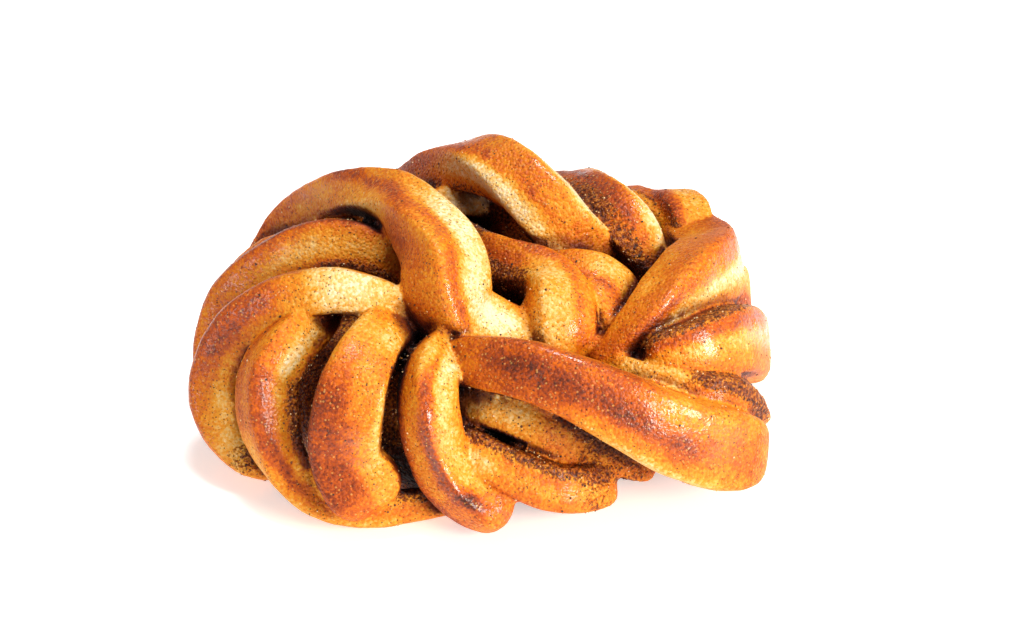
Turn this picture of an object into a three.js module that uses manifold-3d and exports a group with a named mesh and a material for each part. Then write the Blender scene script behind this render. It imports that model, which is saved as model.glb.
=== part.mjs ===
// A cardamom knot: a sweet wheat bun made from one length of rolled and filled dough that was cut
// into strands, wound round the hand and baked. The strands leave a small hub near the front, go
// over a low ring of dough and tuck in under it, so the bun is lowest at its rim and highest at
// the two arches behind the hub. It baked into one loaf, and it is one closed body here.
import * as THREE from 'three';
import { mergeVertices } from 'three/addons/utils/BufferGeometryUtils.js';
import Module from 'manifold-3d';

// Driving dimensions, millimetres. X is the long way, Y runs from front to back and Z is up.
const sectionSides = 10;
const ringSpacing = 6.5;
const sectionPower = 2.6;
const endRounding = [[0.85, 0.35], [0.55, 0.75]];

// The middle of the bun under the strands: radius and height of its rings, and how far it is
// pressed in from front to back.
const coreProfile = [[42, 0], [45, 5], [43.5, 12], [36, 18.5], [24, 23.5], [8, 25.5]];
const coreSides = 28;
const coreCentre = [-1, -3];
const coreDepthScale = 0.86;
const baseTrimDepth = 20;
const baseTrimSize = 200;
// Slivers thinner than this are merged away.
const sliverSize = 0.03;

// The routes are laid out from the hub, and this shift stands the middle of the loaf's outline at
// the origin.
const shiftX = 0.2;
const shiftY = 2.1;

// The way the broad face of a strand looks.
const front = [0, -0.82, 0.57];
const back = [0, 0.8, 0.6];
const right = [0.9, -0.3, 0.35];
const left = [-0.9, -0.2, 0.4];
const top = [0.2, -0.6, 0.75];

// Every strand has the way its face looks at its start and at its end, then a route of stations:
// x, y, z of its centre, width across the face, thickness and the roll of its section in degrees.
// A roll near 45 turns a corner of the dough outward.
const strands = {
  leftArch: [front, front, [
    [-45, 21.5, 8, 9, 9, 0],
    [-40, 22.5, 19.5, 9, 9, 0],
    [-33.3, 19, 28, 9, 9, 0],
    [-25.5, 12, 36, 8.5, 9, 5],
    [-17, 2.5, 40.5, 10, 9.5, 20],
    [-12, -6, 41.5, 11, 10, 35],
    [-7, -15, 39.5, 14.5, 12.5, 45],
    [-6, -21, 35.5, 14.5, 12.5, 45],
    [-3, -21.5, 29, 13, 12, 40],
    [8, -23, 22.5, 13, 12, 30],
  ]],
  outerLeftUpper: [front, front, [
    [-51, -6, 5, 9, 9, 0],
    [-51, -3.5, 11, 9, 9.5, 0],
    [-48, -0.5, 19, 9.5, 10, 0],
    [-42, 0.5, 25.5, 9.5, 10.5, 0],
    [-34, 0.5, 30.5, 10, 11, 0],
    [-25.5, -1.5, 33, 10, 10.5, 0],
    [-17.5, -4, 31, 9, 9, 0],
    [-12, -2.5, 25, 8, 8, 0],
  ]],
  outerLeftLower: [front, front, [
    [-40.5, -32, 4.5, 7, 8, 0],
    [-45.5, -29.5, 6.5, 8.5, 9, 0],
    [-50, -23, 12, 9.5, 10, 0],
    [-48.5, -19.5, 19, 10, 10.5, 0],
    [-44, -18, 26, 10, 10.5, 0],
    [-36.5, -18, 31.5, 9.5, 10.5, 0],
    [-27, -19, 34.5, 8.5, 10, 0],
    [-18.5, -20, 33, 8, 9, 0],
    [-11, -18, 27, 7, 8, 0],
  ]],
  innerLeftFold: [front, front, [
    [-30, -18.5, 28, 8, 8, 0],
    [-36, -27.5, 27, 10, 10, 15],
    [-39, -30.5, 22.5, 10.3, 10, 25],
    [-39, -34.5, 18, 10.3, 10, 25],
    [-37.5, -37, 12.5, 9.5, 9.5, 20],
    [-34.5, -40, 8, 8.5, 8, 0],
    [-29.5, -43.5, 5, 7, 7, 0],
    [-22.5, -45.5, 4, 6.5, 6.5, 0],
    [-14, -44.5, 4, 6, 6.5, 0],
    [-6, -42, 4, 6, 6, 0],
  ]],
  wideFrontFold: [front, front, [
    [-15, -18, 27, 9, 8, 0],
    [-19.5, -30, 30, 10.5, 8, 0],
    [-22.5, -37.5, 27.5, 12, 8.5, 0],
    [-24, -41.5, 21.5, 13.2, 9, 0],
    [-24.5, -43, 14, 13.8, 9.5, 0],
    [-20.3, -45.5, 8, 14.5, 8.5, 0],
  ]],
  frontRidge: [front, front, [
    [-5.5, -24, 26, 8, 8, 0],
    [-9, -35.5, 28, 9.5, 8.5, 20],
    [-9.5, -41.5, 23.5, 9.3, 9, 40],
    [-8, -43.5, 16.5, 9.3, 9.3, 45],
    [-4.5, -46, 10, 9.5, 9, 40],
    [2.5, -48, 6, 9, 7.5, 20],
  ]],
  upperUnderStrand: [front, front, [
    [-9, -31, 19, 8, 7, 0],
    [2, -35.5, 20, 7.5, 7, 0],
    [11, -38, 17, 8, 7.5, 0],
    [20, -37, 11.5, 8, 7.5, 0],
    [30, -35, 6, 6, 6, 0],
  ]],
  lowerUnderStrand: [front, front, [
    [-9, -33, 14, 7, 7, 0],
    [0, -42, 14, 7.5, 8, 0],
    [7.5, -44, 11, 9, 9, 0],
    [14.5, -44.5, 8, 9.5, 9, 0],
    [22, -40, 5.5, 8, 7, 0],
  ]],
  crossingStrand: [front, front, [
    [-5, -28.5, 25, 7.5, 8, 0],
    [0, -32.5, 28, 9.5, 10, 0],
    [8, -37, 29.5, 11, 11, 0],
    [17, -40.5, 28, 12, 12, 0],
    [26, -42, 24, 13.5, 13, 0],
    [35.5, -41.5, 18, 15, 14, 0],
    [43.3, -39, 13.3, 15.5, 14, 0],
    [47.2, -36.5, 11, 13.5, 13, 0],
  ]],
  lowRightStrand: [front, front, [
    [26, -27.5, 22, 6, 7, 0],
    [32, -31.5, 21.5, 8, 8, 0],
    [39.5, -32, 19.8, 10, 10, 0],
    [45.3, -29.5, 16, 12, 11, 0],
    [47.3, -25, 10, 12, 11, 0],
  ]],
  middleRightStrand: [right, right, [
    [22, -23.5, 21, 5, 6, 0],
    [29.5, -27, 24.4, 8, 8, 0],
    [38, -26.5, 26, 11, 11, 0],
    [44.5, -20, 23.5, 13, 13, 0],
    [48.5, -9, 15, 13, 13, 0],
    [49, -1, 7, 12, 12, 0],
  ]],
  rightShoulder: [right, right, [
    [22.5, -25, 23.5, 4.5, 5, 0],
    [29, -22, 27.5, 8, 8, 0],
    [35, -16.5, 30.5, 11, 11, 0],
    [41, -7, 29.5, 14, 12.5, 0],
    [44, 2, 26.5, 13, 12, 0],
    [41.5, 12, 22.5, 13, 12, 0],
    [40, 21.5, 16, 13, 12, 0],
    [40, 29, 10, 12, 11, 0],
    [39, 31, 5, 11, 11, 0],
  ]],
  rightSideFold: [right, right, [
    [42, 2, 20, 9, 9, 0],
    [46.5, 9, 15, 11.5, 11, 0],
    [47.5, 15, 9, 12.5, 11, 0],
    [46.5, 18, 4, 12.5, 11, 0],
  ]],
  backRightOuter: [top, back, [
    [40.5, 10, 25.5, 7, 7, 0],
    [40, 16, 27, 9, 9, 0],
    [37.5, 23.5, 24, 9.5, 9.5, 0],
    [34, 32, 15, 10.5, 10, 0],
    [32, 36.5, 6, 11, 10.5, 0],
  ]],
  backRightMiddle: [top, back, [
    [37.5, 14, 23.5, 4, 6, 0],
    [35, 20, 25, 5, 7, 0],
    [31, 26, 24, 6, 7, 0],
    [26, 34, 18, 9.5, 9.5, 0],
    [23.5, 40, 9, 11, 10, 0],
    [23, 41, 4, 11, 10, 0],
  ]],
  backRightInner: [top, back, [
    [32, -0.5, 27, 7, 8, 0],
    [29, 4, 31.5, 10.5, 10, 20],
    [24, 11.5, 33, 10.5, 10, 30],
    [19, 20, 30, 10, 9.5, 20],
    [16, 29, 24, 11.5, 10.5, 0],
    [13, 37, 16, 12.5, 11, 0],
    [12, 41.5, 7, 12.5, 11, 0],
  ]],
  topArch: [top, back, [
    [21, 3.5, 28, 10, 10, 30],
    [15.5, 2.5, 34, 12.3, 11, 30],
    [11.5, 5.5, 38, 12.5, 11, 35],
    [6.5, 10, 40.5, 11.5, 10.5, 30],
    [1, 15, 40.5, 10, 9.5, 15],
    [-5, 22, 36, 9, 9, 0],
    [-10, 28, 29, 10, 10, 0],
    [-15, 34.5, 19.5, 11.5, 10.5, 0],
    [-18, 39.5, 10, 12.5, 11, 0],
    [-18.5, 40.5, 4, 12, 11, 0],
  ]],
  centreStrand: [front, front, [
    [-3.5, 11, 26, 7, 7, 0],
    [2.5, -1, 29.5, 8.5, 8.5, 0],
    [12.5, -11.5, 31, 10.5, 10, 25],
    [14, -20, 29.5, 12.5, 11.5, 30],
    [14, -21.5, 24, 12.5, 11, 30],
  ]],
  centreKnuckle: [front, front, [
    [11, -3, 26.5, 7, 7, 0],
    [17, -7.5, 29.5, 10, 9, 20],
    [24, -12, 28.5, 12, 10, 35],
    [24.5, -16, 23.5, 11.5, 10, 35],
    [24, -17.5, 17, 10, 9, 20],
  ]],
  underArchFold: [front, back, [
    [-8, 17, 30, 7, 8, 0],
    [-4, 18, 30, 7, 7, 0],
    [0, 20.5, 26, 7, 8, 0],
    [5, 18.5, 26, 8.5, 9, 0],
    [10.5, 13.5, 24.5, 8, 9, 0],
  ]],
  backLeftOuter: [back, back, [
    [-22, 15, 30, 10, 9, 0],
    [-29.5, 25.5, 22, 12, 11, 0],
    [-36, 31, 14, 13, 12, 0],
    [-38, 32, 5, 12.5, 12, 0],
  ]],
  backLeftInner: [back, back, [
    [-14, 15, 30.5, 9, 9, 0],
    [-20.5, 26, 24.5, 12, 11, 0],
    [-26.5, 36, 16, 13, 12, 0],
    [-27.5, 38.5, 6, 12.5, 12, 0],
  ]],
  backMiddle: [back, back, [
    [-6, 25, 29, 8, 8, 0],
    [-7, 34, 24, 9.5, 9, 0],
    [-7.5, 41, 14, 11, 11, 0],
    [-7.5, 43, 5, 11, 11, 0],
  ]],
  backCentre: [back, back, [
    [0.5, 23, 25.5, 8, 8, 0],
    [1.6, 33.5, 20, 9.6, 9, 0],
    [2.2, 41, 11.5, 10.5, 10, 0],
    [2.3, 42.3, 4.5, 10.5, 10.5, 0],
  ]],
  leftSideFold: [left, left, [
    [-37, 9, 23, 9, 9, 0],
    [-42.5, 11.5, 17, 11.5, 10.5, 0],
    [-46.5, 12, 10, 12.5, 11, 0],
    [-46.5, 12, 4, 12, 11, 0],
  ]],
};

const wasm = await Module();
wasm.setup();

// One corner of the rounded section, as a share of half the width and half the thickness.
function sectionCorner(index) {
  const angle = (index / sectionSides) * Math.PI * 2;
  const round = (v) => Math.sign(v) * Math.abs(v) ** (2 / sectionPower);
  return [round(Math.cos(angle)), round(Math.sin(angle))];
}

// Skins a stack of rings, all with the same number of corners, and closes both ends.
function skin(rings) {
  const sides = rings[0].length;
  const positions = rings.flat().flatMap((p) => [p.x, p.y, p.z]);
  const index = [];
  for (let r = 0; r < rings.length - 1; r += 1) {
    for (let s = 0; s < sides; s += 1) {
      const a = r * sides + s;
      const b = r * sides + ((s + 1) % sides);
      index.push(a, b, b + sides, a, b + sides, a + sides);
    }
  }
  const last = (rings.length - 1) * sides;
  for (let s = 1; s < sides - 1; s += 1) {
    index.push(0, s + 1, s);
    index.push(last, last + s, last + s + 1);
  }
  const geometry = new THREE.BufferGeometry();
  geometry.setAttribute('position', new THREE.Float32BufferAttribute(positions, 3));
  geometry.setIndex(index);
  return geometry;
}

// One strand: the section carried along its route, its broad face kept the way it should look.
function strandGeometry(startFacing, endFacing, route) {
  const centres = route.map((s) => new THREE.Vector3(s[0] + shiftX, s[1] + shiftY, s[2]));
  const sections = route.map((s) => new THREE.Vector3(s[3], s[4], s[5]));
  const path = new THREE.CatmullRomCurve3(centres, false, 'catmullrom', 0.5);
  const shape = new THREE.CatmullRomCurve3(sections, false, 'catmullrom', 0.5);
  const steps = Math.max(4, Math.round(path.getLength() / ringSpacing));
  const stations = [];
  for (const [reach, share] of endRounding) {
    stations.push({ u: 0, reach: -reach, share });
  }
  for (let i = 0; i <= steps; i += 1) {
    stations.push({ u: i / steps, reach: 0, share: 1 });
  }
  for (const [reach, share] of [...endRounding].reverse()) {
    stations.push({ u: 1, reach, share });
  }
  const rings = stations.map(({ u, reach, share }) => {
    const t = path.getUtoTmapping(u);
    const tangent = path.getTangent(t);
    const outward = new THREE.Vector3(...startFacing).lerp(new THREE.Vector3(...endFacing), u);
    outward.addScaledVector(tangent, -outward.dot(tangent)).normalize();
    const across = new THREE.Vector3().crossVectors(outward, tangent);
    const [width, thickness, roll] = shape.getPoint(t).toArray();
    across.applyAxisAngle(tangent, -THREE.MathUtils.degToRad(roll));
    outward.applyAxisAngle(tangent, -THREE.MathUtils.degToRad(roll));
    const centre = path.getPoint(t).addScaledVector(tangent, (reach * thickness) / 2);
    const ring = [];
    for (let s = 0; s < sectionSides; s += 1) {
      const [w, n] = sectionCorner(s);
      const corner = centre.clone();
      corner.addScaledVector(across, (w * share * width) / 2);
      corner.addScaledVector(outward, (n * share * thickness) / 2);
      ring.push(corner);
    }
    return ring;
  });
  return skin(rings);
}

// The low mound of dough in the middle that the strands are wound over.
function coreGeometry() {
  const rings = coreProfile.map(([radius, height]) => {
    const ring = [];
    for (let s = 0; s < coreSides; s += 1) {
      const angle = (s / coreSides) * Math.PI * 2;
      const x = coreCentre[0] + shiftX + radius * Math.cos(angle);
      const y = coreCentre[1] + shiftY + radius * Math.sin(angle) * coreDepthScale;
      ring.push(new THREE.Vector3(x, y, height));
    }
    return ring;
  });
  return skin(rings);
}

function toSolid(geometry) {
  const mesh = new wasm.Mesh({
    numProp: 3,
    vertProperties: new Float32Array(geometry.attributes.position.array),
    triVerts: new Uint32Array(geometry.index.array),
  });
  return new wasm.Manifold(mesh);
}

// Everything below the baking sheet is cut away, which leaves the flat underside.
function sheetCutter() {
  const box = new THREE.BoxGeometry(baseTrimSize, baseTrimSize, baseTrimDepth);
  box.deleteAttribute('normal');
  box.deleteAttribute('uv');
  box.translate(0, 0, -baseTrimDepth / 2);
  return toSolid(mergeVertices(box));
}

let loaf = toSolid(coreGeometry());
for (const [startFacing, endFacing, route] of Object.values(strands)) {
  loaf = loaf.add(toSolid(strandGeometry(startFacing, endFacing, route)));
}
loaf = loaf.subtract(sheetCutter()).simplify(sliverSize);

// The pockets left between the strands and the core are dough in a baked bun: only the outer
// skin is kept.
const skins = loaf.decompose().sort((a, b) => b.volume() - a.volume());
const outer = skins[0].getMesh();

const geometry = new THREE.BufferGeometry();
geometry.setAttribute('position', new THREE.Float32BufferAttribute(outer.vertProperties, 3));
geometry.setIndex(new THREE.Uint32BufferAttribute(outer.triVerts, 1));
geometry.computeVertexNormals();

const bakedDough = new THREE.MeshStandardMaterial({
  name: 'baked_dough',
  color: 0xc47a32,
  roughness: 0.5,
  metalness: 0,
});
const knot = new THREE.Mesh(geometry, bakedDough);
knot.name = 'cardamom_knot';

const part = new THREE.Group();
part.name = 'cardamom_knot_part';
part.add(knot);

export default part;
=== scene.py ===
import bpy
import math
import numpy
from mathutils import Matrix, Vector
from mathutils.bvhtree import BVHTree


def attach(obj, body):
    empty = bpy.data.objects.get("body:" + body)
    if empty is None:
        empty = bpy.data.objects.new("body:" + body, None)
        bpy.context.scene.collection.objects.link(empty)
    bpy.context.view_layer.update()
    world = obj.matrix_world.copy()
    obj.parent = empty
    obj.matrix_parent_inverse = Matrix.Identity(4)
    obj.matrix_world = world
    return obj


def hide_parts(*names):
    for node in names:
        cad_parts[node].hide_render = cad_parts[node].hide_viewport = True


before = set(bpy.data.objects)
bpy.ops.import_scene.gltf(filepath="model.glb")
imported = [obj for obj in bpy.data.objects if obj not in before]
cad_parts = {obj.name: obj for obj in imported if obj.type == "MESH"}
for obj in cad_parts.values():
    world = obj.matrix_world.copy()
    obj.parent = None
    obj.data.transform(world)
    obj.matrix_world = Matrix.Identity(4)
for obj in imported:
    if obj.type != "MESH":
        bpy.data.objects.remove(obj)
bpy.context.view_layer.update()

print("cardamom knot: CAD loaf loaded")

mm = 0.001
bodyName = "root"
nodeName = "cardamom_knot"

# the way the broad face of a strand looks
front = (0, -0.82, 0.57)
back = (0, 0.8, 0.6)
right = (0.9, -0.3, 0.35)
left = (-0.9, -0.2, 0.4)
top = (0.2, -0.6, 0.75)


def clearSelection():
    if bpy.context.object and bpy.context.object.mode != "OBJECT":
        bpy.ops.object.mode_set(mode="OBJECT")
    bpy.ops.object.select_all(action="DESELECT")


def pick(pieces):
    clearSelection()
    for piece in pieces:
        piece.select_set(True)
    bpy.context.view_layer.objects.active = pieces[0]


def applyModifier(piece, kind, settings):
    pick([piece])
    modifier = piece.modifiers.new(kind.lower(), kind)
    for name, value in settings.items():
        setattr(modifier, name, value)
    bpy.ops.object.modifier_apply(modifier=modifier.name)


def linear(hexColour, alpha=1.0):
    # sRGB hex to the linear colour that the shader works in
    out = []
    for i in (1, 3, 5):
        c = int(hexColour[i:i + 2], 16) / 255
        out.append(c / 12.92 if c <= 0.04045 else ((c + 0.055) / 1.055) ** 2.4)
    return (*out, alpha)


def ease(x):
    x = min(max(x, 0.0), 1.0)
    return x * x * (3 - 2 * x)


view = {"aim": (5.9, 2.1, 14.5), "elevation": 35, "distance": 550, "lens": 100}

room = {
    "floorSize": 4, "floorColour": "#ffffff", "floorGlow": 0.48, "skyColour": "#ffffff",
    "skyStrength": 0.27, "lampAim": (0, 0, 0.02),
    "lamps": {
        "windowLight": {"place": (0.45, -0.37, 0.26), "size": (0.25, 0.2), "power": 3.8,
                        "colour": "#fff6ea"},
        "ceilingLight": {"place": (0.06, 0.06, 0.75), "size": (0.25, 0.25), "power": 4.3,
                         "colour": "#ffffff"},
        "paleWall": {"place": (-0.33, -0.45, 0.2), "size": (0.16, 0.12), "power": 0.35,
                     "colour": "#ffffff"},
    },
}

loaf = {
    # millimetres: ring spacing of a strand, voxel of the joined loaf, height pressed flat; a
    # route's stations are x, y, z of its centre, width, thickness and roll in degrees, and a
    # stroke is (from, to, around at its start, around at its end, spread, amount)
    "ringStep": 3.5, "voxel": 0.5, "baseFlat": 0.35, "smoothing": 2, "triangles": 190000,
    "cornerCut": 0.16, "endRounding": ((0.85, 0.35), (0.55, 0.75)), "shift": (0.2, 2.1, 0),
    "brushes": {"crust": 0.44, "filling": 0.0, "wash": 0.0},
    "nookRays": 14, "nookReach": 9, "nookStart": 0.15,
    "bumps": [
        {"texture": "CLOUDS", "size": 14, "height": 0.8, "middle": 0.5},
        {"texture": "CLOUDS", "size": 4.5, "height": 0.35, "middle": 0.5},
        {"texture": "CLOUDS", "size": 1.1, "height": 0.5, "middle": 0.5, "brush": "filling"},
    ],
    "strands": {
        "leftArch": {
            "looks": (front, front),
            "route": [(-45, 21.5, 8, 9, 9, 0), (-40, 22.5, 19.5, 9, 9, 0),
                (-33.3, 19, 28, 9, 9, 0), (-25.5, 12, 36, 8.5, 9, 5),
                (-17, 2.5, 40.5, 10, 9.5, 20), (-12, -6, 41.5, 11, 10, 35),
                (-7, -15, 39.5, 14.5, 12.5, 45), (-6, -21, 35.5, 14.5, 12.5, 45),
                (-3, -21.5, 29, 13, 12, 40), (8, -23, 22.5, 13, 12, 30)],
            "crust": [(0, 0.3, 66, 66, 34, 0.2), (0, 0.36, -10, -10, 40, -0.04),
                (0.36, 0.62, 58, -4, 16, 0.32), (0.42, 0.6, -50, -50, 22, -0.34),
                (0.5, 0.78, -70, -40, 30, 0.2), (0.6, 0.97, 74, 34, 34, -0.36),
                (0.64, 0.84, 22, 8, 9, 0.28), (0.84, 1, -10, -10, 80, -0.14)],
            "filling": [(0.2, 0.5, -92, -92, 22, 1), (0.55, 0.9, 112, 112, 14, 0.9)],
            "wash": [(0.6, 0.92, 34, 5, 22, 1), (0.25, 0.6, 55, 10, 28, 0.7)],
        },
        "outerLeftUpper": {
            "looks": (front, front),
            "route": [(-51, -6, 5, 9, 9, 0), (-51, -3.5, 11, 9, 9.5, 0),
                (-48, -0.5, 19, 9.5, 10, 0), (-42, 0.5, 25.5, 9.5, 10.5, 0),
                (-34, 0.5, 30.5, 10, 11, 0), (-25.5, -1.5, 33, 10, 10.5, 0),
                (-17.5, -4, 31, 9, 9, 0), (-12, -2.5, 25, 8, 8, 0)],
            "crust": [(0, 0.8, 64, 64, 20, 0.34), (0, 0.45, 14, 4, 26, 0.22),
                (0.25, 0.9, -5, 8, 30, -0.2), (0.2, 1, -62, -56, 18, 0.26),
                (0.4, 0.8, 30, 36, 16, 0.16)],
            "filling": [(0.4, 0.9, 98, 98, 18, 1), (0.6, 1, -64, -50, 24, 0.95)],
            "wash": [(0.15, 0.65, 20, 20, 26, 0.9)],
        },
        "outerLeftLower": {
            "looks": (front, front),
            "route": [(-40.5, -32, 4.5, 7, 8, 0), (-45.5, -29.5, 6.5, 8.5, 9, 0),
                (-50, -23, 12, 9.5, 10, 0), (-48.5, -19.5, 19, 10, 10.5, 0),
                (-44, -18, 26, 10, 10.5, 0), (-36.5, -18, 31.5, 9.5, 10.5, 0),
                (-27, -19, 34.5, 8.5, 10, 0), (-18.5, -20, 33, 8, 9, 0), (-11, -18, 27, 7, 8, 0)],
            "crust": [(0.05, 0.65, 64, 64, 22, 0.2), (0, 0.28, -15, -15, 60, -0.2),
                (0.14, 0.6, 30, 12, 24, 0.24), (0.3, 0.66, -25, -25, 26, -0.08),
                (0.7, 1, 8, 8, 70, -0.3), (0.36, 0.62, 4, 4, 40, 0.12),
                (0.6, 0.9, 72, 72, 12, 0.3), (0.6, 0.9, -76, -76, 14, 0.4)],
            "filling": [(0, 0.08, 0, 0, 120, 0.5), (0.6, 0.88, -98, -98, 18, 1)],
            "wash": [(0.12, 0.62, 34, 20, 26, 0.75)],
        },
        "innerLeftFold": {
            "looks": (front, front),
            "route": [(-30, -18.5, 28, 8, 8, 0), (-36, -27.5, 27, 10, 10, 15),
                (-39, -30.5, 22.5, 10.3, 10, 25), (-39, -34.5, 18, 10.3, 10, 25),
                (-37.5, -37, 12.5, 9.5, 9.5, 20), (-34.5, -40, 8, 8.5, 8, 0),
                (-29.5, -43.5, 5, 7, 7, 0), (-22.5, -45.5, 4, 6.5, 6.5, 0),
                (-14, -44.5, 4, 6, 6.5, 0), (-6, -42, 4, 6, 6, 0)],
            "crust": [(0.03, 0.22, 10, 10, 32, -0.26), (0.1, 0.6, -10, -10, 18, 0.27),
                (0.12, 0.8, 34, 28, 16, -0.14), (0.4, 0.95, -6, -6, 16, 0.12),
                (0.4, 0.75, -20, -30, 22, -0.04), (0.4, 0.65, -72, -72, 25, -0.16),
                (0.08, 0.4, -75, -75, 24, 0.18), (0.7, 1, 0, 0, 60, -0.04)],
            "filling": [(0, 0.55, 88, 80, 26, 1), (0.55, 1, 60, 25, 20, 0.6)],
            "wash": [(0.12, 0.55, 5, 5, 24, 0.55)],
        },
        "wideFrontFold": {
            "looks": (front, front),
            "route": [(-15, -18, 27, 9, 8, 0), (-19.5, -30, 30, 10.5, 8, 0),
                (-22.5, -37.5, 27.5, 12, 8.5, 0), (-24, -41.5, 21.5, 13.2, 9, 0),
                (-24.5, -43, 14, 13.8, 9.5, 0), (-20.3, -45.5, 8, 14.5, 8.5, 0)],
            "crust": [(0, 0.36, 5, 5, 75, -0.22), (0.2, 0.9, 68, 58, 10, -0.22),
                (0.3, 0.6, -10, -10, 44, -0.02), (0.5, 1, -45, -30, 40, 0.36),
                (0.1, 0.5, -30, -30, 24, 0.12), (0.2, 0.95, -84, -84, 18, 0.4),
                (0.62, 0.92, 18, 12, 12, 0.34), (0.85, 1, 50, 50, 40, -0.06)],
            "filling": [(0, 0.95, 104, 104, 18, 1), (0.1, 0.6, -112, -112, 16, 1)],
            "wash": [(0.45, 1, 36, 26, 18, 1), (0.3, 0.8, -20, -20, 30, 0.3)],
        },
        "frontRidge": {
            "looks": (front, front),
            "route": [(-5.5, -24, 26, 8, 8, 0), (-9, -35.5, 28, 9.5, 8.5, 20),
                (-9.5, -41.5, 23.5, 9.3, 9, 40), (-8, -43.5, 16.5, 9.3, 9.3, 45),
                (-4.5, -46, 10, 9.5, 9, 40), (2.5, -48, 6, 9, 7.5, 20)],
            "crust": [(0.05, 0.32, 30, 30, 60, -0.22), (0.22, 0.95, -3, -10, 9, 0.36),
                (0.28, 0.92, 42, 42, 30, -0.22), (0.25, 0.85, -45, -45, 28, 0.02),
                (0.15, 0.95, -98, -98, 18, 0.35), (0.82, 1, -20, -20, 50, 0.15)],
            "filling": [(0.3, 0.95, 112, 112, 20, 0.9), (0, 0.3, -95, -95, 22, 0.8)],
            "wash": [(0.25, 1, 18, 10, 26, 1)],
        },
        "upperUnderStrand": {
            "looks": (front, front),
            "route": [(-9, -31, 19, 8, 7, 0), (2, -35.5, 20, 7.5, 7, 0),
                (11, -38, 17, 8, 7.5, 0), (20, -37, 11.5, 8, 7.5, 0), (30, -35, 6, 6, 6, 0)],
            "crust": [(0.02, 0.45, 10, 10, 50, -0.29), (0.45, 0.8, 10, 10, 40, -0.05),
                (0.35, 1, 66, 66, 22, 0.3)],
            "filling": [(0.1, 1, -78, -78, 26, 1), (0.65, 1, 0, 0, 60, 0.45),
                (0.45, 0.8, 30, 30, 30, 0.3)],
            "wash": [(0.1, 0.6, 10, 10, 30, 0.4)],
        },
        "lowerUnderStrand": {
            "looks": (front, front),
            "route": [(-9, -33, 14, 7, 7, 0), (0, -42, 14, 7.5, 8, 0), (7.5, -44, 11, 9, 9, 0),
                (14.5, -44.5, 8, 9.5, 9, 0), (22, -40, 5.5, 8, 7, 0)],
            "crust": [(0.15, 0.42, -25, -25, 50, -0.25), (0.3, 0.8, 15, 10, 16, 0.12),
                (0.3, 0.85, -10, -10, 14, -0.12), (0.3, 0.9, -60, -60, 25, 0.1)],
            "filling": [(0.1, 0.55, 85, 70, 25, 1), (0.25, 1, 48, 34, 16, 0.9),
                (0.8, 1, 10, 10, 70, 0.5)],
            "wash": [(0.3, 0.85, 0, 0, 30, 0.8)],
        },
        "crossingStrand": {
            "looks": (front, front),
            "route": [(-5, -28.5, 25, 7.5, 8, 0), (0, -32.5, 28, 9.5, 10, 0),
                (8, -37, 29.5, 11, 11, 0), (17, -40.5, 28, 12, 12, 0),
                (26, -42, 24, 13.5, 13, 0), (35.5, -41.5, 18, 15, 14, 0),
                (43.3, -39, 13.3, 15.5, 14, 0), (47.2, -36.5, 11, 13.5, 13, 0)],
            "crust": [(0.02, 0.2, -20, 0, 60, -0.08), (0.15, 0.8, 6, -14, 26, 0.32),
                (0.05, 0.6, 60, 60, 35, 0.14), (0.1, 0.45, -36, -40, 9, 0.22),
                (0.45, 0.95, -62, -62, 24, -0.2), (0.05, 0.62, 20, 10, 50, 0.1),
                (0.7, 1, -10, -10, 40, 0.08), (0.05, 0.5, -78, -78, 25, 0.45),
                (0.6, 1, 80, 80, 20, -0.1), (0.88, 1, 0, 0, 90, 0.08)],
            "filling": [(0, 0.5, -104, -104, 24, 1)],
            "wash": [(0.4, 0.9, 8, 16, 36, 1), (0.1, 0.45, 25, 25, 40, 0.6)],
        },
        "lowRightStrand": {
            "looks": (front, front),
            "route": [(26, -27.5, 22, 6, 7, 0), (32, -31.5, 21.5, 8, 8, 0),
                (39.5, -32, 19.8, 10, 10, 0), (45.3, -29.5, 16, 12, 11, 0),
                (47.3, -25, 10, 12, 11, 0)],
            "crust": [(0, 0.4, 5, 5, 50, -0.25), (0.35, 0.9, 82, 82, 24, 0.12),
                (0.4, 1, -10, -10, 20, -0.1)],
            "filling": [(0.4, 0.88, 40, 48, 17, 1), (0.9, 1, 20, 20, 60, 0.5)],
            "wash": [(0.1, 0.6, 0, 0, 30, 0.5)],
        },
        "middleRightStrand": {
            "looks": (right, right),
            "route": [(22, -23.5, 21, 5, 6, 0), (29.5, -27, 24.4, 8, 8, 0),
                (38, -26.5, 26, 11, 11, 0), (44.5, -20, 23.5, 13, 13, 0),
                (48.5, -9, 15, 13, 13, 0), (49, -1, 7, 12, 12, 0)],
            # the pale band along the lit right face is partly pale risen dough and partly painted
            # highlight
            "crust": [(0.05, 0.65, 66, 78, 20, 0.32), (0.08, 0.6, 6, 4, 22, -0.16),
                (0.1, 0.7, 33, 33, 9, 0.26), (0.1, 0.95, -48, -48, 28, 0.06)],
            "filling": [(0, 0.65, 52, 62, 17, 1), (0, 0.3, 100, 100, 30, 0.6)],
            "wash": [(0.15, 0.9, 14, 12, 26, 1)],
        },
        "rightShoulder": {
            "looks": (right, right),
            "route": [(22.5, -25, 23.5, 4.5, 5, 0), (29, -22, 27.5, 8, 8, 0),
                (35, -16.5, 30.5, 11, 11, 0), (41, -7, 29.5, 14, 12.5, 0),
                (44, 2, 26.5, 13, 12, 0), (41.5, 12, 22.5, 13, 12, 0),
                (40, 21.5, 16, 13, 12, 0), (40, 29, 10, 12, 11, 0), (39, 31, 5, 11, 11, 0)],
            # the pale band along the lit right face is partly pale risen dough and partly painted
            # highlight
            "crust": [(0, 0.7, 66, 52, 32, 0.14), (0, 0.7, 14, -24, 26, -0.34),
                (0.02, 0.5, 40, 8, 8, 0.25), (0.1, 0.6, -58, -58, 14, 0.05),
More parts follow.
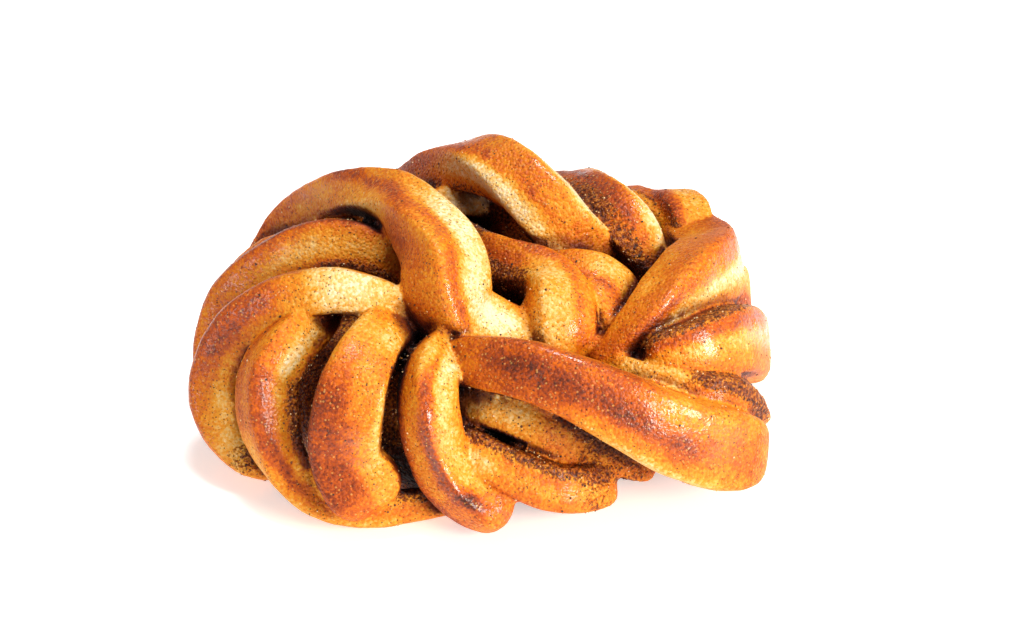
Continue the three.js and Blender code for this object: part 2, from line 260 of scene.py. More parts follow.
                (0, 0.5, -66, -66, 18, 0.2), (0.5, 0.9, 10, 10, 50, 0.12)],
            "filling": [(0, 0.55, -84, -90, 22, 1)],
            "wash": [(0.05, 0.65, 26, 0, 30, 1)],
        },
        "rightSideFold": {
            "looks": (right, right),
            "route": [(42, 2, 20, 9, 9, 0), (46.5, 9, 15, 11.5, 11, 0),
                (47.5, 15, 9, 12.5, 11, 0), (46.5, 18, 4, 12.5, 11, 0)],
            "crust": [(0, 1, 30, 30, 40, -0.2), (0, 1, -25, -25, 25, 0.25)],
            "filling": [(0, 1, 100, 100, 30, 0.7)],
        },
        "backRightOuter": {
            "looks": (top, back),
            "route": [(40.5, 10, 25.5, 7, 7, 0), (40, 16, 27, 9, 9, 0),
                (37.5, 23.5, 24, 9.5, 9.5, 0), (34, 32, 15, 10.5, 10, 0),
                (32, 36.5, 6, 11, 10.5, 0)],
            "crust": [(0.05, 0.5, 45, 42, 12, 0.4), (0.05, 0.6, 0, 0, 40, -0.12),
                (0.6, 1, 0, 0, 60, 0.2)],
            "filling": [(0, 0.12, 60, 60, 25, 0.8), (0.1, 0.9, 110, 110, 25, 0.7)],
        },
        "backRightMiddle": {
            "looks": (top, back),
            "route": [(37.5, 14, 23.5, 4, 6, 0), (35, 20, 25, 5, 7, 0), (31, 26, 24, 6, 7, 0),
                (26, 34, 18, 9.5, 9.5, 0), (23.5, 40, 9, 11, 10, 0), (23, 41, 4, 11, 10, 0)],
            "crust": [(0, 0.5, 45, 45, 25, -0.1), (0.1, 1, -20, -20, 40, 0.22)],
            "filling": [(0.02, 0.4, 10, 18, 12, 1), (0.4, 1, -70, -70, 35, 0.7),
                (0, 1, 100, 100, 30, 0.7)],
        },
        "backRightInner": {
            "looks": (top, back),
            "route": [(32, -0.5, 27, 7, 8, 0), (29, 4, 31.5, 10.5, 10, 20),
                (24, 11.5, 33, 10.5, 10, 30), (19, 20, 30, 10, 9.5, 20),
                (16, 29, 24, 11.5, 10.5, 0), (13, 37, 16, 12.5, 11, 0),
                (12, 41.5, 7, 12.5, 11, 0)],
            "crust": [(0, 0.42, -46, -46, 30, -0.34), (0.1, 0.5, -4, -4, 12, 0.24),
                (0.12, 1, 35, 35, 40, 0.26), (0.5, 1, -20, -20, 50, 0.2)],
            "filling": [(0, 0.5, 50, 50, 32, 0.8), (0.5, 1, -110, -110, 25, 0.6)],
            "wash": [(0.1, 0.5, -4, -4, 22, 0.8)],
        },
        "topArch": {
            "looks": (top, back),
            "route": [(21, 3.5, 28, 10, 10, 30), (15.5, 2.5, 34, 12.3, 11, 30),
                (11.5, 5.5, 38, 12.5, 11, 35), (6.5, 10, 40.5, 11.5, 10.5, 30),
                (1, 15, 40.5, 10, 9.5, 15), (-5, 22, 36, 9, 9, 0), (-10, 28, 29, 10, 10, 0),
                (-15, 34.5, 19.5, 11.5, 10.5, 0), (-18, 39.5, 10, 12.5, 11, 0),
                (-18.5, 40.5, 4, 12, 11, 0)],
            "crust": [(0, 0.3, -40, -40, 22, -0.36), (0, 0.18, 10, 10, 40, -0.06),
                (0.1, 0.42, 40, 44, 9, 0.26), (0.15, 0.45, 5, 5, 35, 0.08),
                (0.02, 0.48, 82, 82, 28, -0.34), (0.4, 1, -10, -10, 80, 0.22)],
            "filling": [(0, 0.45, -82, -82, 22, 1), (0.3, 0.6, 155, 155, 35, 0.6),
                (0.6, 1, -110, -110, 25, 0.6)],
            "wash": [(0.14, 0.5, 15, 0, 34, 0.8)],
        },
        "centreStrand": {
            "looks": (front, front),
            "route": [(-3.5, 11, 26, 7, 7, 0), (2.5, -1, 29.5, 8.5, 8.5, 0),
                (12.5, -11.5, 31, 10.5, 10, 25), (14, -20, 29.5, 12.5, 11.5, 30),
                (14, -21.5, 24, 12.5, 11, 30)],
            "crust": [(0.05, 0.6, 10, 10, 28, 0.26), (0.56, 1, 14, 14, 46, -0.16),
                (0.45, 0.98, 62, 50, 10, 0.3), (0.85, 1, -60, -60, 50, -0.12)],
            "filling": [(0, 0.66, -50, -50, 46, 1), (0, 0.3, 60, 60, 40, 0.9)],
            "wash": [(0.5, 1, 46, 40, 22, 0.9)],
        },
        "centreKnuckle": {
            "looks": (front, front),
            "route": [(11, -3, 26.5, 7, 7, 0), (17, -7.5, 29.5, 10, 9, 20),
                (24, -12, 28.5, 12, 10, 35), (24.5, -16, 23.5, 11.5, 10, 35),
                (24, -17.5, 17, 10, 9, 20)],
            "crust": [(0.1, 0.45, 0, 0, 50, 0.04), (0.3, 0.95, -32, -32, 14, -0.26),
                (0.3, 0.75, 10, 10, 12, 0.28), (0.35, 0.95, 60, 60, 28, -0.14),
                (0.6, 1, 0, 0, 90, 0)],
            "filling": [(0.92, 1, 0, 0, 120, 0.6)],
            "wash": [(0.25, 0.75, 20, 20, 26, 0.8)],
        },
        "underArchFold": {
            "looks": (front, back),
            "route": [(-8, 17, 30, 7, 8, 0), (-4, 18, 30, 7, 7, 0), (0, 20.5, 26, 7, 8, 0),
                (5, 18.5, 26, 8.5, 9, 0), (10.5, 13.5, 24.5, 8, 9, 0)],
            "crust": [(0, 0.5, 5, -20, 50, -0.38)],
            "filling": [(0.16, 1, 60, 20, 40, 0.5), (0.4, 1, 0, 0, 70, 0.3),
                (0.3, 1, -70, -70, 40, 0.4)],
        },
        "backLeftOuter": {
            "looks": (back, back),
            "route": [(-22, 15, 30, 10, 9, 0), (-29.5, 25.5, 22, 12, 11, 0),
                (-36, 31, 14, 13, 12, 0), (-38, 32, 5, 12.5, 12, 0)],
            "crust": [(0, 1, 0, 0, 60, 0.28)],
            "filling": [(0, 1, 105, 105, 28, 0.8)],
            "wash": [(0.2, 0.8, 0, 0, 40, 0.5)],
        },
        "backLeftInner": {
            "looks": (back, back),
            "route": [(-14, 15, 30.5, 9, 9, 0), (-20.5, 26, 24.5, 12, 11, 0),
                (-26.5, 36, 16, 13, 12, 0), (-27.5, 38.5, 6, 12.5, 12, 0)],
            "crust": [(0, 1, 10, 10, 55, 0.25), (0.4, 1, -70, -70, 30, -0.25)],
            "filling": [(0, 1, 105, 105, 28, 0.8)],
            "wash": [(0.2, 0.8, 0, 0, 40, 0.5)],
        },
        "backMiddle": {
            "looks": (back, back),
            "route": [(-6, 25, 29, 8, 8, 0), (-7, 34, 24, 9.5, 9, 0), (-7.5, 41, 14, 11, 11, 0),
                (-7.5, 43, 5, 11, 11, 0)],
            "crust": [(0, 1, 0, 0, 50, 0.2), (0.3, 1, 70, 70, 30, -0.2)],
            "filling": [(0, 1, -105, -105, 28, 0.8)],
        },
        "backCentre": {
            "looks": (back, back),
            "route": [(0.5, 23, 25.5, 8, 8, 0), (1.6, 33.5, 20, 9.6, 9, 0),
                (2.2, 41, 11.5, 10.5, 10, 0), (2.3, 42.3, 4.5, 10.5, 10.5, 0)],
            "crust": [(0, 1, 0, 0, 50, 0.16), (0.3, 1, -70, -70, 30, -0.16)],
            "filling": [(0, 1, 105, 105, 28, 0.8), (0, 0.3, 0, 0, 90, 0.7)],
        },
        "leftSideFold": {
            "looks": (left, left),
            "route": [(-37, 9, 23, 9, 9, 0), (-42.5, 11.5, 17, 11.5, 10.5, 0),
                (-46.5, 12, 10, 12.5, 11, 0), (-46.5, 12, 4, 12, 11, 0)],
            "crust": [(0, 1, 20, 20, 55, 0.28)],
            "filling": [(0, 1, -100, -100, 28, 0.8)],
        },
        "mound": {
            "looks": (front, front), "cornerCut": 0.45, "endRounding": (),
            "route": [(-1, -3, -3, 82, 70, 0), (-1, -3, 3, 88, 76, 0), (-1, -3, 8, 90, 77, 0),
                (-1, -3, 13, 86, 74, 0), (-1, -3, 18.5, 72, 62, 0), (-1, -3, 22.5, 50, 43, 0),
                (-1, -3, 24.5, 20, 17, 0)],
            "filling": [(0, 1, 0, 0, 360, 1)],
        },
    },
}


def routePoint(rows, t):
    # a smooth line through the stations, t counts stations
    i = min(int(t), len(rows) - 2)
    t -= i
    p1, p2 = rows[i], rows[i + 1]
    p0 = rows[i - 1] if i > 0 else p1 * 2 - p2
    p3 = rows[i + 2] if i + 2 < len(rows) else p2 * 2 - p1
    v0, v1 = (p2 - p0) * 0.5, (p3 - p1) * 0.5
    return ((p1 - p2) * 2 + v0 + v1) * t ** 3 + ((p2 - p1) * 3 - v0 * 2 - v1) * t ** 2 + v0 * t + p1


finePerStation = 40  # points between two stations when a route's length is measured
tangentReach = 0.01  # stations looked ahead and behind for the way a route runs


def stationsOf(strand):
    # rings at even steps along the route, with two smaller ones to round each end
    rows = [Vector(row) for row in strand["route"]]
    fine = [i / finePerStation for i in range(finePerStation * (len(rows) - 1) + 1)]
    places = [routePoint(rows, t) for t in fine]
    length = [0.0]
    for a, b in zip(places, places[1:]):
        length.append(length[-1] + (Vector(b[:3]) - Vector(a[:3])).length)
    steps = max(4, round(length[-1] / loaf["ringStep"]))
    startLook, endLook = (Vector(look) for look in strand["looks"])
    stations = []
    for k in range(steps + 1):
        t = float(numpy.interp(length[-1] * k / steps, length, fine))
        row = routePoint(rows, t)
        ahead = routePoint(rows, min(t + tangentReach, len(rows) - 1))
        behind = routePoint(rows, max(t - tangentReach, 0))
        tangent = (Vector(ahead[:3]) - Vector(behind[:3])).normalized()
        outward = startLook.lerp(endLook, k / steps)
        outward = (outward - tangent * outward.dot(tangent)).normalized()
        plain = Matrix((outward.cross(tangent), outward, tangent)).transposed()
        turned = plain @ Matrix.Rotation(math.radians(-row[5]), 3, "Z")
        place = (Vector(row[:3]) + Vector(loaf["shift"])) * mm
        stations.append([place, turned, row[3] * mm, row[4] * mm, k / steps, plain, tangent])
    ends = []
    for last, sign in ((stations[0], -1), (stations[-1], 1)):
        caps = []
        for reach, share in strand.get("endRounding", loaf["endRounding"]):
            place = last[0] + last[6] * (sign * reach * last[3] / 2)
            caps.append([place, last[1], last[2] * share, last[3] * share, *last[4:]])
        ends.append(caps)
    return ends[0] + stations + ends[1][::-1]


def makeStrand(name, strand):
    stations = stationsOf(strand)
    place, turn, width, thick = stations[0][:4]
    clearSelection()
    bpy.ops.mesh.primitive_plane_add(size=1, location=place, rotation=turn.to_euler())
    piece = bpy.context.object
    piece.name = name
    bpy.ops.object.mode_set(mode="EDIT")
    bpy.ops.mesh.select_all(action="SELECT")
    cornerCut = strand.get("cornerCut", loaf["cornerCut"])
    bpy.ops.mesh.bevel(offset=cornerCut, segments=2, affect="VERTICES")
    bpy.ops.transform.resize(value=(width, thick, 1), orient_type="GLOBAL", orient_matrix=turn,
                             orient_matrix_type="GLOBAL", center_override=place)
    for a, b in zip(stations, stations[1:]):
        bpy.ops.mesh.extrude_region_move(TRANSFORM_OT_translate={"value": b[0] - a[0]})
        for axis, angle in zip("XYZ", (b[1] @ a[1].transposed()).to_euler("XYZ")):
            if abs(angle) > 1e-5:
                bpy.ops.transform.rotate(value=-angle, orient_axis=axis, orient_type="GLOBAL",
                                         center_override=b[0])
        bpy.ops.transform.resize(value=(b[2] / a[2], b[3] / a[3], 1), orient_type="GLOBAL",
                                 orient_matrix=b[1], orient_matrix_type="GLOBAL",
                                 center_override=b[0])
    bpy.ops.mesh.select_all(action="SELECT")
    bpy.ops.mesh.normals_make_consistent(inside=False)
    bpy.ops.object.mode_set(mode="OBJECT")
    bpy.ops.object.transform_apply(location=True, rotation=True, scale=True)
    markStrand(piece, stations)
    applyModifier(piece, "SUBSURF", {"levels": 2, "render_levels": 2})
    brushStrand(piece, strand)
    bpy.ops.object.mode_set(mode="EDIT")
    bpy.ops.mesh.select_all(action="SELECT")
    bpy.ops.mesh.bisect(plane_co=(0, 0, 0), plane_no=(0, 0, 1), use_fill=True, clear_inner=True)
    bpy.ops.object.mode_set(mode="OBJECT")
    return piece


# marks are weights kept away from 0, where a vertex would drop out of its group
markLow, markSpan, markMiddle, markSwing = 0.1, 0.8, 0.5, 0.4


def markStrand(piece, stations):
    # every corner remembers how far along the strand it is and which way it looks
    sides = len(piece.data.vertices) // len(stations)
    names = ("along", "across", "outward")
    along, across, outward = (piece.vertex_groups.new(name=name) for name in names)
    for vertex in piece.data.vertices:
        place, _, _, _, share, plain, _ = stations[vertex.index // sides]
        local = (plain.transposed() @ (vertex.co - place)).normalized()
        along.add([vertex.index], markLow + markSpan * share, "REPLACE")
        across.add([vertex.index], markMiddle + markSwing * local.x, "REPLACE")
        outward.add([vertex.index], markMiddle + markSwing * local.y, "REPLACE")


def brushStrand(piece, strand):
    # oven work, filling and egg wash, along the strand from 0 to 1 and in degrees around it
    marks = [piece.vertex_groups[name] for name in ("along", "across", "outward")]
    groups = {name: piece.vertex_groups.new(name=name) for name in loaf["brushes"]}
    for vertex in piece.data.vertices:
        along, across, outward = (mark.weight(vertex.index) for mark in marks)
        along = (along - markLow) / markSpan
        around = math.degrees(math.atan2(across - markMiddle, outward - markMiddle))
        for name, group in groups.items():
            amount = loaf["brushes"][name]
            for start, end, fromAround, toAround, spread, strength in strand.get(name, ()):
                share = (along - start) / (end - start)
                fade = min(0.16, max(0.05, 0.35 * (end - start)))
                inside = min(along - start, end - along) / fade + 0.5
                centre = fromAround + (toAround - fromAround) * min(max(share, 0), 1)
                off = abs((around - centre + 180) % 360 - 180)
                soft = min(40, max(spread, 8))
                amount += strength * ease(inside) * ease((spread - off) / soft + 0.5)
            group.add([vertex.index], min(max(amount, 0.0), 1.0), "REPLACE")
    for mark in marks:
        piece.vertex_groups.remove(mark)


def buildLoaf():
    strands = [makeStrand(name, strand) for name, strand in loaf["strands"].items()]
    print("cardamom knot:", len(strands), "strands wound")
    pick(strands)
    bpy.ops.object.join()
    source = bpy.context.object
    source.name = "strandSource"
    baked = source.copy()
    baked.data = source.data.copy()
    bpy.context.collection.objects.link(baked)
    baked.name = "loaf"
    applyModifier(baked, "REMESH", {"mode": "VOXEL", "voxel_size": loaf["voxel"] * mm,
                                    "adaptivity": 0})
    applyModifier(baked, "SMOOTH", {"factor": 0.5, "iterations": loaf["smoothing"]})
    keepOuterSkin(baked)
    print("cardamom knot: one loaf of", len(baked.data.vertices), "points")
    brushOnto(baked, source)
    for bump in loaf["bumps"]:
        texture = bpy.data.textures.new("crumb", bump["texture"])
        texture.noise_scale = bump["size"] * mm
        settings = {"texture": texture, "strength": bump["height"] * mm,
                    "mid_level": bump["middle"]}
        if "brush" in bump:
            settings["vertex_group"] = bump["brush"]
        applyModifier(baked, "DISPLACE", settings)
    faces = sum(len(p.vertices) - 2 for p in baked.data.polygons)
    applyModifier(baked, "DECIMATE", {"ratio": min(1.0, loaf["triangles"] / faces)})
    applyModifier(baked, "TRIANGULATE", {})
    print("cardamom knot:", len(baked.data.polygons), "triangles")
    brushOnto(baked, source)
    flattenBase(baked)
    bpy.data.objects.remove(source)
    pick([baked])
    bpy.ops.object.shade_smooth()
    return baked


def keepOuterSkin(piece):
    # the sealed pockets between the strands are dough, so only the outer skin stays
    pick([piece])
    bpy.ops.object.mode_set(mode="EDIT")
    bpy.ops.mesh.select_all(action="SELECT")
    bpy.ops.mesh.separate(type="LOOSE")
    bpy.ops.object.mode_set(mode="OBJECT")
    parts = sorted(bpy.context.selected_objects, key=lambda part: len(part.data.vertices))
    for part in parts:
        if part != piece and part != parts[-1]:
            bpy.data.objects.remove(part)
    if parts[-1] != piece:
        piece.data = parts[-1].data
        bpy.data.objects.remove(parts[-1])


def brushOnto(piece, source):
    for name in loaf["brushes"]:
        if name not in piece.vertex_groups:
            piece.vertex_groups.new(name=name)
    applyModifier(piece, "DATA_TRANSFER", {
        "object": source, "use_vert_data": True, "data_types_verts": {"VGROUP_WEIGHTS"},
        "vert_mapping": "POLYINTERP_NEAREST", "layers_vgroup_select_src": "ALL",
        "layers_vgroup_select_dst": "NAME"})


def flattenBase(piece):
    for vertex in piece.data.vertices:
        if vertex.co.z < loaf["baseFlat"] * mm:
            vertex.co.z = 0


goldenAngle = 2.39996  # radians, spreads rays evenly


def setMask(piece, name, values):
    mask = piece.data.attributes.new(name, "FLOAT", "POINT")
    mask.data.foreach_set("value", values)


def paintMasks(piece):
    # brushed weights become masks, and a nook mask says how hidden each point is
    mesh = piece.data
    for name in loaf["brushes"]:
        index = piece.vertex_groups[name].index
        values = []
        for vertex in mesh.vertices:
            weight = 0.0
            for group in vertex.groups:
                if group.group == index:
                    weight = group.weight
            values.append(weight)
        setMask(piece, name + "Mask", values)
    points = [vertex.co for vertex in mesh.vertices]
    tree = BVHTree.FromPolygons(points, [face.vertices for face in mesh.polygons])
    rays = []
    for k in range(loaf["nookRays"]):
        z = (k + 0.5) / loaf["nookRays"]
        turn = k * goldenAngle
        flat = math.sqrt(1 - z * z)
        rays.append(Vector((flat * math.cos(turn), flat * math.sin(turn), z)))
    values = []
    reach = loaf["nookReach"] * mm
    for vertex in mesh.vertices:
        turn = vertex.normal.to_track_quat("Z", "Y").to_matrix()
        start = vertex.co + vertex.normal * (loaf["nookStart"] * mm)
        clear = 0.0
        total = 0.0
        for ray in rays:
            total += ray.z
            hit = tree.ray_cast(start, turn @ ray, reach)
            if hit[0] is None:
                clear += ray.z
            else:
                clear += ray.z * 0.5 * hit[3] / reach
        values.append(1 - clear / total)
    setMask(piece, "nookMask", values)


def addNode(tree, kind, settings=None, inputs=None, stops=None):
    # adds a node: settings are its properties, inputs are numbers, colours or sockets to link
    made = tree.nodes.new(kind)
    for name, value in (settings or {}).items():
        setattr(made, name, value)
    for name, value in (inputs or {}).items():
        if isinstance(value, bpy.types.NodeSocket):
            tree.links.new(value, made.inputs[name])
        else:
            made.inputs[name].default_value = value
    if stops:
        ramp = made.color_ramp
        while len(ramp.elements) < len(stops):
            ramp.elements.new(0.5)
        for element, (place, colour) in zip(ramp.elements, stops):
            element.position = place
            element.color = linear(colour)
    return made


# egg-washed wheat dough: matte and creamy where the oven didn't reach, golden to dark brown and
# softly glossy on the ridges, with wet cinnamon filling in the folds and loose spice and sugar
dough = {
    "bake": [(0.0, "#f7e0b6"), (0.14, "#efc374"), (0.3, "#e89b24"), (0.46, "#dd7a08"),
             (0.6, "#cb5e02"), (0.74, "#a94301"), (0.87, "#7d2c02"), (1.0, "#491904")],
    "filling": [(0.32, "#3a1606"), (0.5, "#843a0e"), (0.68, "#cc7a20")],
    # size in millimetres and detail of each cloudy pattern, and size of a sugar crystal
    "patterns": {"broad": (13, 2), "mottle": (3.2, 3), "freckle": (0.55, 2), "crumb": (0.6, 2)},
    "crystal": 0.55,
    # sums of layers, each (value, amount, the middle that it swings about): how deeply it is
    # baked (with painted shade where it is hidden), how wet with filling, how rough, where the wash
    # shines and how high it stands
    # the nook layer darkens the crust where strands hide each other: painted shade
    "level": [("crust", 1, 0), ("broad", 0.25, 0.5), ("mottle", 0.22, 0.5), ("freckle", 0.4, 0.5),
              ("nook", 0.4, 0.05), ("crystal", 0.17, 0.5)],
    # the nook layer spreads filling colour into the seams: partly real paste there and partly
    # painted shade
    "wet": [("filling", 1, 0), ("mottle", 0.8, 0.5), ("freckle", 1.7, 0.5), ("nook", 0.8, 0.2)],
    "rough": [("wash", -0.12, 0), ("freckle", 0.3, 0.5), ("wetPaste", -0.12, 0)],
    "patch": [("mottle", 1.3, 0.5), ("freckle", 1.9, 0.5)],
    "height": [("mottle", 0.3, 0), ("freckle", 0.26, 0.5), ("crumb", 0.12, 0.5),
               ("wetCrumb", 0.45, 0.5), ("sugar", 0.14, 0), ("spice", 0.05, 0),
               ("crystalEdge", -0.2, 0.5)],
    "glaze": [("mottle", 0.3, 0), ("freckle", 0.2, 0.5)],
    # where a smooth step starts and ends: wet paste, shiny patch, and the painted shade of a fold
    # and of its deepest part
    "edges": {"wetPaste": (0.36, 0.74), "shine": (0.3, 0.62), "fold": (0.17, 0.5),
              "hollow": (0.42, 0.72)},
    # grains baked onto the crust: millimetres apart and in radius, and the share of cells
    "grains": {
        "spice": {"apart": 0.7, "radius": 0.15, "colour": "#6a2a0c", "strength": 0.8,
                  "share": [("crust", 0.5, 0), ("mottle", 2.0, 0.42), ("filling", 0.4, 0)]},
        "caramel": {"apart": 0.5, "radius": 0.13, "colour": "#a8500c", "strength": 0.55,
                    "share": [("crust", 0.5, 0), ("mottle", 1.5, 0.4)]},
        "speck": {"apart": 0.95, "radius": 0.14, "colour": "#26110b", "strength": 0.9,
                  "share": [("filling", 0.5, 0), ("nook", 0.8, -0.5)]},
        "sugar": {"apart": 0.9, "radius": 0.2, "colour": "#f6b860", "strength": 0.4,
                  "share": [("crust", 0.7, 0), ("mottle", 2.0, 0.45)]},
    },
    # painted shade: a warm brown multiplied into the folds between strands and a darker one into
    # their deepest part
    "grainSoftness": 0.15, "foldShadeColour": "#6c3a1c", "foldShadeStrength": 0.95,
    "hollowShadeColour": "#542c16", "roughness": 0.5, "specular": 0.28, "coatRoughness": 0.13,
    "bumpHeight": 0.85, "glazeHeight": 0.42,
}


def doughMaterial():
    material = bpy.data.materials.new("eggWashedDough")
    material.use_nodes = True
    tree = material.node_tree
    shader = tree.nodes["Principled BSDF"]
    place = addNode(tree, "ShaderNodeTexCoord").outputs["Object"]
    values = {}

    def layered(layers, base=0.0):
        for name, amount, middle in layers:
            swing = addNode(tree, "ShaderNodeMath", {"operation": "MULTIPLY_ADD"}, {
                0: values[name], 1: amount, 2: -middle * amount}).outputs[0]
            base = addNode(tree, "ShaderNodeMath", {"operation": "ADD"},
                           {0: base, 1: swing}).outputs[0]
        return base

    for name in ("crust", "filling", "wash", "nook"):
        values[name] = addNode(tree, "ShaderNodeAttribute",
                               {"attribute_name": name + "Mask"}).outputs["Fac"]
    for name, (size, detail) in dough["patterns"].items():
        values[name] = addNode(tree, "ShaderNodeTexNoise", None, {
            "Vector": place, "Scale": 1 / (size * mm), "Detail": detail}).outputs["Fac"]
    # every sugar crystal in the wash took the heat a little differently
    crystals = addNode(tree, "ShaderNodeTexVoronoi", None, {
        "Vector": place, "Scale": 1 / (dough["crystal"] * mm)})
    values["crystal"] = addNode(tree, "ShaderNodeSeparateColor", None, {
        "Color": crystals.outputs["Color"]}).outputs[0]
    values["crystalEdge"] = crystals.outputs["Distance"]

    steps = {"wetPaste": layered(dough["wet"]), "shine": layered(dough["patch"], 0.5),
             "fold": values["nook"], "hollow": values["nook"]}
    for name, value in steps.items():
        low, high = dough["edges"][name]
        values[name] = addNode(tree, "ShaderNodeMapRange", {"interpolation_type": "SMOOTHSTEP"}, {
            "Value": value, "From Min": low, "From Max": high}).outputs["Result"]
    for name, a, b in (("wetCrumb", "wetPaste", "crumb"), ("glossy", "wash", "shine")):
        values[name] = addNode(tree, "ShaderNodeMath", {"operation": "MULTIPLY"}, {
            0: values[a], 1: values[b]}).outputs[0]

    bake = addNode(tree, "ShaderNodeValToRGB", None, {"Fac": layered(dough["level"])}, dough["bake"])
    paste = addNode(tree, "ShaderNodeValToRGB", None, {"Fac": values["crumb"]}, dough["filling"])
    colour = addNode(tree, "ShaderNodeMix", {"data_type": "RGBA"}, {
        0: values["wetPaste"], 6: bake.outputs["Color"], 7: paste.outputs["Color"]}).outputs[2]
    for name, grain in dough["grains"].items():
        # a round grain in each picked cell, blended over what lies under it
        cells = addNode(tree, "ShaderNodeTexVoronoi", None, {
            "Vector": place, "Scale": 1 / (grain["apart"] * mm)})
        luck = addNode(tree, "ShaderNodeSeparateColor", None, {"Color": cells.outputs["Color"]})
        picked = addNode(tree, "ShaderNodeMath", {"operation": "LESS_THAN"}, {
            0: luck.outputs[0], 1: layered(grain["share"])}).outputs[0]
        radius = grain["radius"] / grain["apart"]
        spot = addNode(tree, "ShaderNodeMapRange", {"interpolation_type": "SMOOTHSTEP"}, {
            "Value": cells.outputs["Distance"], "From Min": radius * (1 + dough["grainSoftness"]),
            "From Max": radius * (1 - dough["grainSoftness"])}).outputs["Result"]
        values[name] = addNode(tree, "ShaderNodeMath", {"operation": "MULTIPLY"},
                               {0: spot, 1: picked}).outputs[0]
        strength = addNode(tree, "ShaderNodeMath", {"operation": "MULTIPLY"},
                           {0: values[name], 1: grain["strength"]}).outputs[0]
        colour = addNode(tree, "ShaderNodeMix", {"data_type": "RGBA"}, {
            0: strength, 6: colour, 7: linear(grain["colour"])}).outputs[2]
    fold = addNode(tree, "ShaderNodeMath", {"operation": "MULTIPLY"}, {
        0: values["fold"], 1: dough["foldShadeStrength"]}).outputs[0]
    # light that is lost between the strands, warm in a fold and darker where it is deepest
    for share, shadeColour in ((fold, "foldShadeColour"), (values["hollow"], "hollowShadeColour")):
        colour = addNode(tree, "ShaderNodeMix", {"data_type": "RGBA", "blend_type": "MULTIPLY"}, {
            0: share, 6: colour, 7: linear(dough[shadeColour])}).outputs[2]
    tree.links.new(colour, shader.inputs["Base Color"])

    tree.links.new(layered(dough["rough"], dough["roughness"]), shader.inputs["Roughness"])
    tree.links.new(values["glossy"], shader.inputs["Coat Weight"])
    shader.inputs["IOR"].default_value = 1.5
    shader.inputs["Specular IOR Level"].default_value = dough["specular"]
    shader.inputs["Coat Roughness"].default_value = dough["coatRoughness"]
    shader.inputs["Subsurface Weight"].default_value = 0.1
    shader.inputs["Subsurface Radius"].default_value = (1.0, 0.45, 0.2)
    shader.inputs["Subsurface Scale"].default_value = 1.5 * mm
    for layers, strength, socket in (("height", "bumpHeight", "Normal"),
                                     ("glaze", "glazeHeight", "Coat Normal")):
        bump = addNode(tree, "ShaderNodeBump", None, {
            "Strength": dough[strength], "Distance": mm, "Height": layered(dough[layers])})
        tree.links.new(bump.outputs["Normal"], shader.inputs[socket])
    return material


# coarse pearl sugar and crushed cardamom and cinnamon that stay loose on the wet wash
grainKinds = {
    "pearlSugar": {"count": 4200, "smallest": 0.14, "largest": 0.36, "flat": 0.8, "plain": 0.22,
                   "filling": 1.6, "seam": 0.7, "colours": [(0.42, "#c47a28"), (0.66, "#ffe2ae")],
                   "roughness": 0.18, "patch": 2.5},
    "crushedSpice": {"count": 3200, "smallest": 0.15, "largest": 0.48, "flat": 0.5, "plain": 0.16,
                     "filling": 1.4, "seam": 0.8, "colours": [(0.4, "#1d0d08"), (0.65, "#7a3f18")],
                     "roughness": 0.6, "patch": 1.5},
}


clearOfTable = 1.2  # millimetres above the table where the lowest grain sticks
deepNook = 0.75  # no grain falls deeper into a fold than this
seamNook, seamReach = 0.25, 0.2  # how hidden the seams are where grains gather


def grainMaterial(name, kind):
    material = bpy.data.materials.new(name)
    material.use_nodes = True
    tree = material.node_tree
    shader = tree.nodes["Principled BSDF"]
    place = addNode(tree, "ShaderNodeTexCoord").outputs["Object"]
    patch = addNode(tree, "ShaderNodeTexNoise", None, {
        "Vector": place, "Scale": 1 / (kind["patch"] * mm), "Detail": 1.0})
    colour = addNode(tree, "ShaderNodeValToRGB", None, {"Fac": patch.outputs["Fac"]},
                     kind["colours"]).outputs["Color"]
    tree.links.new(colour, shader.inputs["Base Color"])
    shader.inputs["Roughness"].default_value = kind["roughness"]
    return material


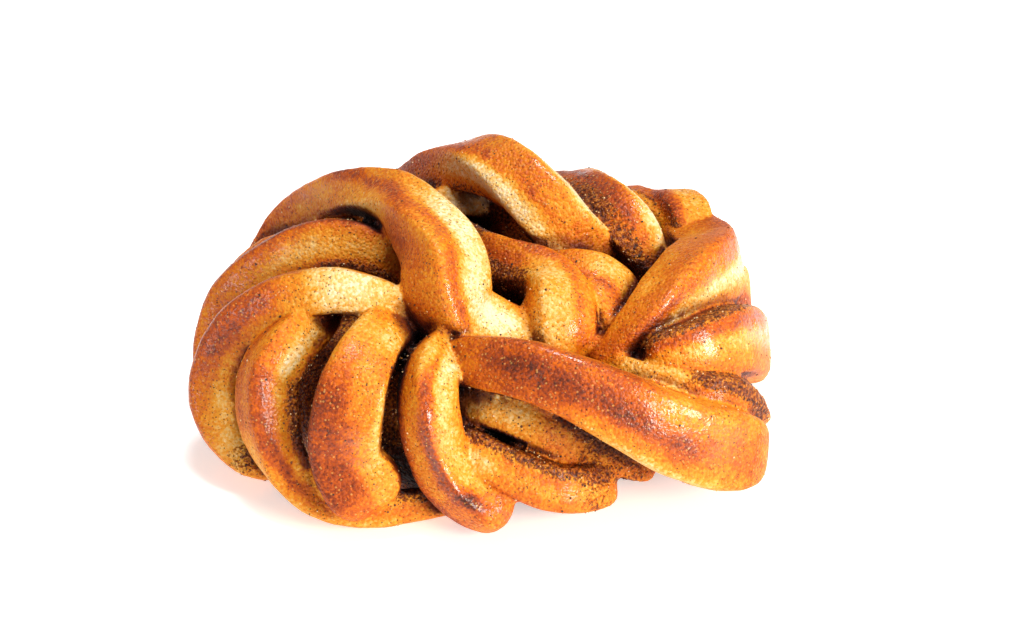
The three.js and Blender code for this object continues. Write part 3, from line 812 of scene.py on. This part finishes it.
def scatterGrains(baked, name, kind, chance):
    # one crumb is cut as a chipped block, then copied over the loaf where it would stick
    clearSelection()
    bpy.ops.mesh.primitive_cube_add(size=1)
    crumb = bpy.context.object
    bpy.ops.object.mode_set(mode="EDIT")
    bpy.ops.mesh.select_all(action="SELECT")
    bpy.ops.mesh.bevel(offset=0.24, segments=1, affect="EDGES")
    bpy.ops.transform.vertex_random(offset=0.07, seed=7)
    bpy.ops.object.mode_set(mode="OBJECT")
    mesh = baked.data
    masks = {}
    for mask in ("fillingMask", "nookMask"):
        values = numpy.zeros(len(mesh.vertices))
        mesh.attributes[mask].data.foreach_get("value", values)
        masks[mask] = values
    corners = numpy.zeros(len(mesh.polygons) * 3, dtype=int)
    mesh.polygons.foreach_get("vertices", corners)
    corners = corners.reshape(-1, 3)
    area = numpy.zeros(len(corners))
    mesh.polygons.foreach_get("area", area)
    filling, nook = (masks[m][corners].mean(axis=1) for m in masks)
    seam = numpy.clip(1 - abs(nook - seamNook) / seamReach, 0, 1)
    weight = area * (kind["plain"] + kind["filling"] * filling + kind["seam"] * seam)
    weight[nook > deepNook] = 0
    picked = chance.choice(len(corners), kind["count"], p=weight / weight.sum(), replace=False)
    copies = []
    for index in picked:
        face = mesh.polygons[int(index)]
        if face.center.z < clearOfTable * mm:
            continue
        size = chance.uniform(kind["smallest"], kind["largest"]) * mm
        turn = face.normal.to_track_quat("Z", "Y").to_matrix().to_4x4()
        tilt = Matrix.Rotation(chance.uniform(-0.5, 0.5), 4, "X")
        spin = Matrix.Rotation(chance.uniform(0, 6.28), 4, "Z")
        shape = Matrix.Diagonal((size, size * chance.uniform(0.6, 1), size * kind["flat"], 1))
        copy = bpy.data.objects.new(name, crumb.data.copy())
        copy.data.transform(Matrix.Translation(face.center + face.normal * size * 0.12)
                            @ turn @ spin @ tilt @ shape)
        bpy.context.collection.objects.link(copy)
        copies.append(copy)
    bpy.data.objects.remove(crumb)
    pick(copies)
    bpy.ops.object.join()
    made = bpy.context.object
    made.name = name
    made.data.materials.clear()
    made.data.materials.append(grainMaterial(name, kind))
    print("cardamom knot:", len(copies), name)
    return made


def makeCamera():
    # long lens from a little above the front, as a table-top portrait
    aim = Vector(view["aim"]) * mm
    tilt = math.radians(view["elevation"])
    place = aim + Vector((0, -math.cos(tilt), math.sin(tilt))) * view["distance"] * mm
    bpy.ops.object.camera_add(location=place, rotation=(math.pi / 2 - tilt, 0, 0))
    camera = bpy.context.object
    camera.name = "portraitCamera"
    camera.data.lens = view["lens"]
    camera.data.sensor_width = 36
    camera.data.clip_start = 0.01
    bpy.context.scene.camera = camera


def makeRoom():
    clearSelection()
    bpy.ops.mesh.primitive_plane_add(size=room["floorSize"])
    floor = bpy.context.object
    floor.name = "paleTable"
    material = bpy.data.materials.new("matteWhiteBoard")
    material.use_nodes = True
    shader = material.node_tree.nodes["Principled BSDF"]
    shader.inputs["Base Color"].default_value = linear(room["floorColour"])
    shader.inputs["Roughness"].default_value = 0.9
    shader.inputs["Specular IOR Level"].default_value = 0.1
    shader.inputs["Emission Color"].default_value = linear(room["floorColour"])
    shader.inputs["Emission Strength"].default_value = room["floorGlow"]
    floor.data.materials.append(material)
    world = bpy.data.worlds.new("paleRoom")
    bpy.context.scene.world = world
    world.use_nodes = True
    sky = world.node_tree.nodes["Background"]
    sky.inputs["Color"].default_value = linear(room["skyColour"])
    sky.inputs["Strength"].default_value = room["skyStrength"]
    for name, lamp in room["lamps"].items():
        place = Vector(lamp["place"])
        turn = (Vector(room["lampAim"]) - place).to_track_quat("-Z", "Y").to_euler()
        bpy.ops.object.light_add(type="AREA", location=place, rotation=turn)
        light = bpy.context.object
        light.name = name
        light.data.shape = "RECTANGLE"
        light.data.size, light.data.size_y = lamp["size"]
        light.data.energy = lamp["power"]
        light.data.color = linear(lamp["colour"])[:3]
    bpy.context.scene.view_settings.view_transform = "Standard"
    print("cardamom knot: table and", len(room["lamps"]), "lamps")


makeCamera()
makeRoom()
baked = buildLoaf()
paintMasks(baked)
baked.data.materials.clear()
baked.data.materials.append(doughMaterial())
chance = numpy.random.default_rng(11)
pieces = [baked] + [scatterGrains(baked, name, kind, chance) for name, kind in grainKinds.items()]
for piece in pieces:
    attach(piece, bodyName)
    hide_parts(nodeName)
